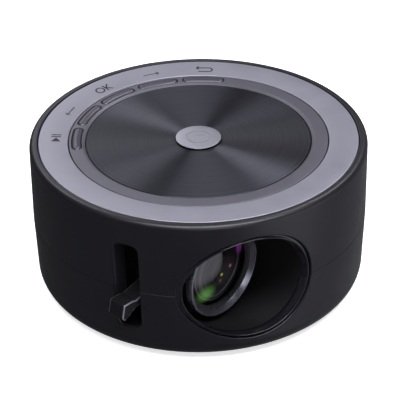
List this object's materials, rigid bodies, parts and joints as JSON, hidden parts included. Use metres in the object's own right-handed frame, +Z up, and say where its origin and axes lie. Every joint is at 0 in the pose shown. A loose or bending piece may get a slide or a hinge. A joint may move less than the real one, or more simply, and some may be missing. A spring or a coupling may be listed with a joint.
{
  "type": "home projector",
  "caption": "Round puck-shaped home projector with a lens in a deep round tunnel, a side focus lever and arc-shaped keys round a turned dial plate on top.",
  "frame": {"origin": "on the surface the feet stand on, on the case's vertical axis, under its middle", "axes": "+Z up, the lens looks along -Y, +X to the right seen from behind the lens"},
  "size_m": [0.1237, 0.122, 0.0566],
  "materials": {
    "case_plastic": "fine satin texture, near-black with a blue tint",
    "foot_rubber": "matt moulded rubber",
    "screw_steel": "plain plated steel",
    "top_trim": "satin grey-violet",
    "key_plastic": "satin mid grey",
    "dial_metal": "turned, with fine concentric grooves, dark anodised",
    "gloss_black": "polished piano black",
    "matt_black": "matt, light-absorbing",
    "nose_metal": "dark anodised, fine turned",
    "lens_glass": "coated optical glass or clear plastic",
    "lcd_glass": "dark polarised panel",
    "heatsink_metal": "bare extruded",
    "led_phosphor": "yellow phosphor",
    "circuit_board": "green solder mask",
    "speaker_paper": "pressed paper cone",
    "speaker_magnet": "ferrite magnet"
  },
  "bodies": {
    "case": {"upper_shell": "case_plastic", "lower_shell": "case_plastic", "foot_1": "foot_rubber", "foot_2": "foot_rubber", "foot_3": "foot_rubber", "foot_4": "foot_rubber", "case_screw_1": "screw_steel", "case_screw_2": "screw_steel", "case_screw_3": "screw_steel", "case_screw_4": "screw_steel", "top_ring": "top_trim", "key_ring": "key_plastic", "dial_plate": "dial_metal", "centre_badge": "top_trim", "key_switch_1": "screw_steel", "key_switch_2": "screw_steel", "key_switch_3": "screw_steel", "key_switch_4": "screw_steel", "key_switch_5": "screw_steel", "key_board": "circuit_board", "lens_bezel": "gloss_black", "lens_tunnel": "matt_black", "lens_holder": "matt_black", "engine_case": "matt_black", "front_fresnel_lens": "lens_glass", "lcd_panel": "lcd_glass", "rear_fresnel_lens": "lens_glass", "heat_glass": "lens_glass", "condenser_lens": "lens_glass", "led_board": "heatsink_metal", "lamp_led": "led_phosphor", "heatsink": "heatsink_metal", "fan_frame": "matt_black", "port_plate": "case_plastic", "power_socket": "screw_steel", "usb_socket": "screw_steel", "hdmi_socket": "screw_steel", "audio_jack": "matt_black", "main_board": "circuit_board", "video_chip": "matt_black", "chip_heatsink": "heatsink_metal", "speaker_basket": "screw_steel", "speaker_cone": "speaker_paper", "speaker_magnet": "speaker_magnet"},
    "focus": {"focus_ring": "case_plastic"},
    "lens": {"lens_barrel": "matt_black", "lens_nose_ring": "nose_metal", "front_lens": "lens_glass", "rear_lens": "lens_glass"},
    "fan": {"fan_rotor": "matt_black"},
    "key_play_body": {"key_play": "key_plastic"},
    "key_left_body": {"key_left": "key_plastic"},
    "key_ok_body": {"key_ok": "key_plastic"},
    "key_right_body": {"key_right": "key_plastic"},
    "key_back_body": {"key_back": "key_plastic"}
  },
  "joints": [
    {"name": "focus_turn", "type": "hinge", "parent": "case", "child": "focus", "pos_m": [-0.0285, -0.0197, 0.0292], "axis": [0, 1, 0], "range_deg": [-11.5, 35.5]},
    {"name": "lens_slide", "type": "slide", "parent": "case", "child": "lens", "axis": [0, -1, 0], "range_m": [-0.00051, 0.00158]},
    {"name": "key_play_press", "type": "slide", "parent": "case", "child": "key_play_body", "axis": [0, 0, -1], "range_m": [0, 0.0004], "stiffness_N_per_m": 1200, "springref_m": -0.0003},
    {"name": "key_left_press", "type": "slide", "parent": "case", "child": "key_left_body", "axis": [0, 0, -1], "range_m": [0, 0.0004], "stiffness_N_per_m": 1200, "springref_m": -0.0003},
    {"name": "key_ok_press", "type": "slide", "parent": "case", "child": "key_ok_body", "axis": [0, 0, -1], "range_m": [0, 0.0004], "stiffness_N_per_m": 1200, "springref_m": -0.0003},
    {"name": "key_right_press", "type": "slide", "parent": "case", "child": "key_right_body", "axis": [0, 0, -1], "range_m": [0, 0.0004], "stiffness_N_per_m": 1200, "springref_m": -0.0003},
    {"name": "key_back_press", "type": "slide", "parent": "case", "child": "key_back_body", "axis": [0, 0, -1], "range_m": [0, 0.0004], "stiffness_N_per_m": 1200, "springref_m": -0.0003},
    {"name": "fan_spin", "type": "hinge", "parent": "case", "child": "fan", "pos_m": [0.04396, -0.016, 0.0285], "axis": [0.9397, -0.342, 0], "continuous": true}
  ],
  "couplings": [
    {"joint": "focus_turn", "follows": "lens_slide", "rad_per_m": 392.77}
  ]
}
